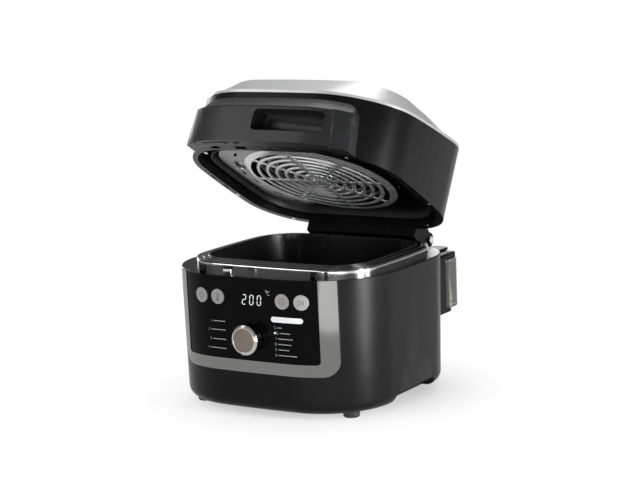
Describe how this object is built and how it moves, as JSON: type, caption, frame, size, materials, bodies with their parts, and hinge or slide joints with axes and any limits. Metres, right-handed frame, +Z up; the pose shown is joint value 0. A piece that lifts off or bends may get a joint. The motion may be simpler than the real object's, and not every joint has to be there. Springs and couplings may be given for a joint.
{
  "type": "steam air fryer",
  "caption": "Countertop steam air fryer: bowed square body with a front control panel, lift-out pot and a hinged lid with a fan guard and heating element.",
  "frame": {"origin": "on the table, under the middle of the whole machine's outer box", "axes": "+Z up, the control panel faces -Y, +X is the right-hand side seen from the front"},
  "size_m": [0.326, 0.3898, 0.4423],
  "materials": {
    "black_plastic": "fine matt moulded black",
    "inner_plastic": "plain moulded dark grey",
    "face_plastic": "satin dark grey",
    "silver_cover": "satin silver paint on plastic",
    "polished_steel": "polished",
    "brushed_steel": "brushed",
    "sheet_steel": "plain sheet",
    "hard_steel": "turned or drawn",
    "nonstick": "dark non-stick coating on aluminium",
    "rubber": "soft black",
    "smoked_glass": "gloss black, printed from behind",
    "display": "dark display window",
    "element": "heat-darkened sheathed element",
    "circuit_board": "green laminate",
    "switch_plastic": "moulded black",
    "catch_metal": "bright",
    "clear_plastic": "smoky translucent",
    "fan_aluminium": "stamped sheet",
    "motor_steel": "plated can",
    "button_plastic": "satin light grey"
  },
  "bodies": {
    "base": {"base_housing": "black_plastic", "base_floor": "inner_plastic", "floor_screws": "hard_steel", "foot_pads": "rubber", "deck_ring": "black_plastic", "steel_rim": "polished_steel", "heating_well": "sheet_steel", "heat_shield": "sheet_steel", "base_heater": "element", "well_thermostat": "switch_plastic", "power_board": "circuit_board", "chrome_frame": "polished_steel", "glass_panel": "smoked_glass", "board_carrier": "inner_plastic", "control_board": "circuit_board", "display_module": "display", "tact_switches": "switch_plastic", "knob_encoder": "switch_plastic", "guide_lugs": "switch_plastic", "catch_post": "catch_metal", "catch_cap": "switch_plastic", "interlock_switch": "switch_plastic", "rear_housing": "black_plastic", "hinge_bracket": "brushed_steel", "hinge_springs": "hard_steel", "cord_gland": "rubber", "collector_bracket": "black_plastic"},
    "lid": {"lid_shell": "black_plastic", "lid_cover": "silver_cover", "handle_shroud": "black_plastic", "handle_face": "face_plastic", "grip_pocket": "black_plastic", "lid_rim": "black_plastic", "seal_carrier": "black_plastic", "rim_screws": "hard_steel", "lid_seal": "rubber", "lid_pan": "brushed_steel", "fan_guard": "brushed_steel", "air_dome": "sheet_steel", "heater_coil": "element", "motor_bracket": "sheet_steel", "fan_motor": "motor_steel", "lid_sensor": "sheet_steel", "lid_tail": "black_plastic", "hinge_pins": "brushed_steel"},
    "fan": {"motor_shaft": "hard_steel", "convection_fan": "fan_aluminium", "cooling_fan": "fan_aluminium"},
    "knob": {"knob_body": "polished_steel", "knob_face": "brushed_steel", "knob_shaft": "hard_steel"},
    "pot": {"inner_pot": "nonstick"},
    "plate": {"crisper_plate": "nonstick", "plate_feet": "rubber"},
    "cup": {"collector_cup": "clear_plastic"},
    "body_power_button": {"power_button": "button_plastic"},
    "body_temperature_button": {"temperature_button": "button_plastic"},
    "body_timer_button": {"timer_button": "button_plastic"},
    "body_start_button": {"start_button": "button_plastic"}
  },
  "joints": [
    {"name": "lid_hinge", "type": "hinge", "parent": "base", "child": "lid", "pos_m": [0, 0.17, 0.192], "axis": [-1, 0, 0], "range_deg": [-29.4, 50.6]},
    {"name": "fan_spin", "type": "hinge", "parent": "lid", "child": "fan", "pos_m": [0, 0.0259, 0.31108], "axis": [0, 0.4909, 0.8712], "continuous": true},
    {"name": "knob_turn", "type": "hinge", "parent": "base", "child": "knob", "pos_m": [0, -0.175, 0.11], "axis": [0, -1, 0], "continuous": true},
    {"name": "pot_lift", "type": "slide", "parent": "base", "child": "pot", "axis": [0, 0, 1], "range_m": [0, 0.015]},
    {"name": "plate_lift", "type": "slide", "parent": "pot", "child": "plate", "axis": [0, 0, 1], "range_m": [0, 0.1]},
    {"name": "cup_slide", "type": "slide", "parent": "base", "child": "cup", "axis": [0, 1, 0], "range_m": [0, 0.045]},
    {"name": "power_press", "type": "slide", "parent": "base", "child": "body_power_button", "axis": [0, 1, 0], "range_m": [0, 0.0008], "stiffness_N_per_m": 600},
    {"name": "temperature_press", "type": "slide", "parent": "base", "child": "body_temperature_button", "axis": [0, 1, 0], "range_m": [0, 0.0008], "stiffness_N_per_m": 600},
    {"name": "timer_press", "type": "slide", "parent": "base", "child": "body_timer_button", "axis": [0, 1, 0], "range_m": [0, 0.0008], "stiffness_N_per_m": 600},
    {"name": "start_press", "type": "slide", "parent": "base", "child": "body_start_button", "axis": [0, 1, 0], "range_m": [0, 0.0008], "stiffness_N_per_m": 600}
  ]
}
